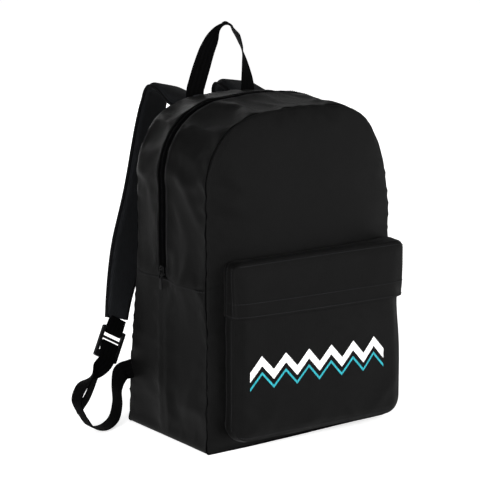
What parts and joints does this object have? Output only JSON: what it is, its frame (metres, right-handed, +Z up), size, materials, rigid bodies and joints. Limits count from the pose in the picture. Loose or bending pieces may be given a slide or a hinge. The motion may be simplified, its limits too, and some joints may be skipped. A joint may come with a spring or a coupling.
{
  "type": "school backpack",
  "caption": "Arched fabric school backpack with a zipped main compartment, a flapped front pocket, a webbing grab handle and padded shoulder straps.",
  "frame": {"origin": "centre of the flat base of the main compartment, on the floor", "axes": "+Z up, the front pocket faces -Y, the shoulder straps are on the +Y side"},
  "size_m": [0.474, 0.279, 0.5358],
  "materials": {
    "shell_fabric": "matte woven polyester",
    "lining_fabric": "matte woven lining",
    "pad_foam": "closed-cell foam",
    "binding_tape": "matte bias tape",
    "strap_fabric": "matte woven polyester over foam",
    "webbing": "ribbed polypropylene webbing",
    "zip_tape": "woven zip tape",
    "zip_coil": "nylon coil",
    "slider_metal": "black enamel",
    "lock_plastic": "moulded acetal",
    "print_white": "screen print",
    "print_teal": "screen print"
  },
  "bodies": {
    "bag": {"front_panel_lower": "shell_fabric", "front_gusset_ends": "shell_fabric", "rear_gusset": "shell_fabric", "lower_gusset": "shell_fabric", "back_panel": "shell_fabric", "back_foam": "pad_foam", "back_lining": "lining_fabric", "front_binding_lower": "binding_tape", "back_binding": "binding_tape", "zip_tape_front_ends": "zip_tape", "zip_tape_rear": "zip_tape", "zip_coil_front_ends": "zip_coil", "zip_coil_rear": "zip_coil", "pocket_gusset": "shell_fabric", "pocket_top_strip": "shell_fabric", "pocket_face": "shell_fabric", "pocket_upper_panel": "shell_fabric", "pocket_flap": "shell_fabric", "pocket_tape_upper": "zip_tape", "pocket_tape_lower": "zip_tape", "pocket_coil_upper": "zip_coil", "pocket_coil_lower": "zip_coil", "pocket_zip_ends": "shell_fabric", "print_band": "print_white", "print_accent": "print_teal", "handle_ends": "webbing", "strap_yoke": "shell_fabric", "web_lower_left": "webbing", "web_lower_right": "webbing"},
    "front_leaf": {"front_panel": "shell_fabric", "front_gusset": "shell_fabric", "front_binding": "binding_tape", "zip_tape_front": "zip_tape", "zip_coil_front": "zip_coil"},
    "slider": {"main_slider": "slider_metal"},
    "puller": {"main_puller": "slider_metal"},
    "pocket_slider": {"pocket_slider": "slider_metal", "pocket_puller": "slider_metal"},
    "handle": {"grab_handle": "webbing"},
    "strap_left": {"strap_outer_left": "strap_fabric", "strap_foam_left": "pad_foam", "strap_lining_left": "strap_fabric", "lock_loop_left": "webbing"},
    "strap_right": {"strap_outer_right": "strap_fabric", "strap_foam_right": "pad_foam", "strap_lining_right": "strap_fabric", "lock_loop_right": "webbing"},
    "lock_left": {"ladder_lock_left": "lock_plastic", "lock_webbing_left": "webbing"},
    "lock_right": {"ladder_lock_right": "lock_plastic", "lock_webbing_right": "webbing"}
  },
  "joints": [
    {"name": "mouth_open", "type": "hinge", "parent": "bag", "child": "front_leaf", "pos_m": [0, -0.086, 0.258], "axis": [1, 0, 0], "range_deg": [0, 35]},
    {"name": "zip_slide", "type": "slide", "parent": "bag", "child": "slider", "axis": [0, 0, 1], "range_m": [0, 0.11]},
    {"name": "puller_swing", "type": "hinge", "parent": "slider", "child": "puller", "pos_m": [-0.1533, 0.013, 0.2275], "axis": [0, 1, 0], "range_deg": [0, 160]},
    {"name": "pocket_zip_slide", "type": "slide", "parent": "bag", "child": "pocket_slider", "axis": [-1, 0, 0], "range_m": [0, 0.2]},
    {"name": "handle_lean", "type": "hinge", "parent": "bag", "child": "handle", "pos_m": [0, 0.081, 0.446], "axis": [1, 0, 0], "range_deg": [-10, 70]},
    {"name": "strap_left_swing", "type": "hinge", "parent": "bag", "child": "strap_left", "pos_m": [-0.056, 0.087, 0.427], "axis": [1, 0, 0], "range_deg": [-2, 20]},
    {"name": "strap_right_swing", "type": "hinge", "parent": "bag", "child": "strap_right", "pos_m": [0.056, 0.087, 0.427], "axis": [1, 0, 0], "range_deg": [-2, 20]},
    {"name": "lock_left_tilt", "type": "hinge", "parent": "strap_left", "child": "lock_left", "pos_m": [-0.162, 0.118, 0.126], "axis": [0.864, -0.0609, -0.4998], "range_deg": [0, 40]},
    {"name": "lock_right_tilt", "type": "hinge", "parent": "strap_right", "child": "lock_right", "pos_m": [0.162, 0.118, 0.126], "axis": [0.864, 0.0609, 0.4998], "range_deg": [0, 40]}
  ]
}
